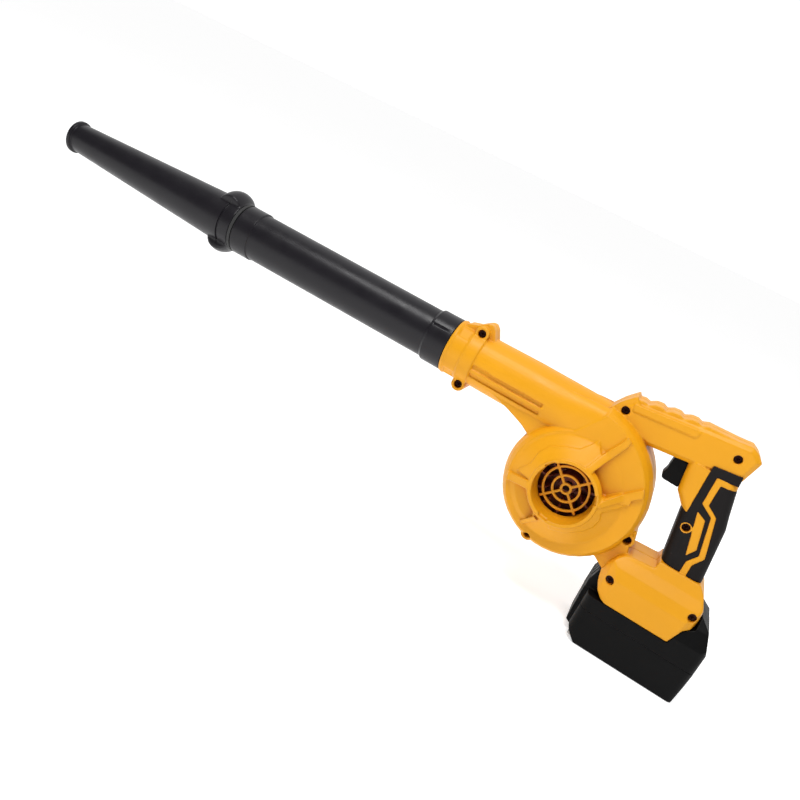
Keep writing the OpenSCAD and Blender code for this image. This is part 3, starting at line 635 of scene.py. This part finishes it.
def soft_share(p):
    """Where the shell is rounded more: the battery foot and the top beam, away from the screws."""
    foot = np.clip((104 - p[:, 2]) / 6, 0, 1) * np.clip((p[:, 0] + 62) / 8, 0, 1)
    foot *= np.clip((np.abs(p[:, 1]) - 24.5) / 4, 0, 1)
    beam = np.clip((p[:, 2] - 224) / 4, 0, 1) * np.clip((p[:, 0] + 112) / 6, 0, 1) * 0.5
    front = np.clip((113 - p[:, 2]) / 3, 0, 1) * np.clip((p[:, 2] - 90) / 4, 0, 1)
    front *= np.clip((p[:, 0] + 50) / 4, 0, 1) * np.clip((-14 - p[:, 0]) / 3, 0, 1)
    share = np.maximum(np.maximum(foot, beam), front)
    for x, z in SCREW_SPOTS:
        share *= np.clip((np.hypot(p[:, 0] - x, p[:, 2] - z) - 6) / 4, 0, 1)
    return share


def housing_pieces():
    """Both shells, the intake guard, the grip skins and the trigger."""
    shell_piece("shell_right", "housing_right")
    shell_piece("shell_left", "housing_left")
    moulded("intake_grille", "housing", ["intake_guard"], FINE_VOXEL * 0.8, 3)
    moulded("grip_skin_right", "housing", ["grip_overmould_right"], FINE_VOXEL, 3)
    moulded("grip_skin_left", "housing", ["grip_overmould_left"], FINE_VOXEL, 3)
    moulded("trigger_skin", "trigger", ["trigger"], FINE_VOXEL, 4)


def battery_pieces():
    """The pack's two cases and its release button."""
    moulded("pack_lower_skin", "battery", ["battery_lower_case"], VOXEL * 0.9, 2)
    moulded("pack_upper_skin", "battery", ["battery_upper_case"], VOXEL * 0.9, 2)
    moulded("release_button_skin", "release_button", ["release_button"], FINE_VOXEL * 0.7, 2)


# ---- Stage ----

AZIMUTH = math.radians(14.45)
ELEVATION = math.radians(18.52)
ROLL = math.radians(25.70)
DISTANCE = 850.0
AIM = Vector((-314.9, 15.8, 103.2))
FRONT_SKY = 0.2
BACK_SKY = 1.05
FLOOR_GLOW = 0.54
LAMP_AIM = (-250, 0, 120)
KEY_POWER = 23
FILL_POWER = 3


def camera():
    """A camera at the studio picture's angle, rolled so that the tube falls from left to right."""
    back = Vector((math.sin(AZIMUTH) * math.cos(ELEVATION), -math.cos(AZIMUTH) * math.cos(ELEVATION),
                   math.sin(ELEVATION)))
    data = bpy.data.cameras.new("camera")
    data.lens = 36.62
    data.sensor_width = 36
    data.shift_x = 0.0010
    data.shift_y = 0.0001
    data.clip_start = 0.01
    obj = bpy.data.objects.new("camera", data)
    bpy.context.scene.collection.objects.link(obj)
    obj.rotation_mode = "QUATERNION"
    obj.rotation_quaternion = (-back).to_track_quat("-Z", "Y") @ Quaternion((0, 0, 1), ROLL)
    obj.location = (AIM + back * DISTANCE) * MM
    bpy.context.scene.camera = obj


def lamp(name, place, size, power):
    """A white soft box aimed at the blower; place is in millimetres, size in metres."""
    data = bpy.data.lights.new(name, "AREA")
    data.shape = "RECTANGLE"
    data.size, data.size_y = size
    data.energy = power
    obj = bpy.data.objects.new(name, data)
    bpy.context.scene.collection.objects.link(obj)
    obj.location = Vector(place) * MM
    obj.rotation_mode = "QUATERNION"
    obj.rotation_quaternion = (Vector(LAMP_AIM) - Vector(place)).to_track_quat("-Z", "Y")


def sky():
    """A studio room: a bright wall behind the object and a dimmer one in front of it."""
    world = bpy.data.worlds.new("studio")
    world.use_nodes = True
    tree = world.node_tree
    split = tree.nodes.new("ShaderNodeSeparateXYZ")
    tree.links.new(tree.nodes.new("ShaderNodeTexCoord").outputs["Generated"], split.inputs["Vector"])
    shade = ramp(tree, split.outputs["Y"], [(0.0, (FRONT_SKY,) * 3), (0.3, (1, 1, 1))])
    tree.links.new(shade, tree.nodes["Background"].inputs["Color"])
    tree.nodes["Background"].inputs["Strength"].default_value = BACK_SKY
    bpy.context.scene.world = world


def stage():
    """A plain pale floor, the studio room and two soft lamps."""
    floor_mesh = bpy.data.meshes.new("floor")
    bm = bmesh.new()
    bmesh.ops.create_grid(bm, x_segments=8, y_segments=8, size=30)
    bm.to_mesh(floor_mesh)
    bm.free()
    floor = link("floor", floor_mesh)
    floor.location.z = CAD_BOX[0].z - 0.0005
    paint = bpy.data.materials.new("floor")
    paint.use_nodes = True
    tree = paint.node_tree
    shader = tree.nodes["Principled BSDF"]
    shader.inputs["Roughness"].default_value = 1.0
    shader.inputs["Specular IOR Level"].default_value = 0.0
    place = tree.nodes.new("ShaderNodeTexCoord").outputs["Object"]
    tint = ramp(tree, noise(tree, place, 3.0), [(0.3, (0.79, 0.79, 0.79)), (0.7, (0.81, 0.81, 0.81))])
    tree.links.new(tint, shader.inputs["Base Color"])
    shader.inputs["Emission Color"].default_value = (1, 1, 1, 1)
    shader.inputs["Emission Strength"].default_value = FLOOR_GLOW
    floor_mesh.materials.append(paint)
    bpy.context.scene.view_settings.view_transform = "Standard"
    sky()
    lamp("key", (-350, -600, 1500), (1.2, 0.4), KEY_POWER)
    lamp("fill", (300, -1500, 500), (1.4, 1.2), FILL_POWER)


dress_cad_nodes()
housing_pieces()
nozzle_piece()
tube_piece()
battery_pieces()
camera()
stage()
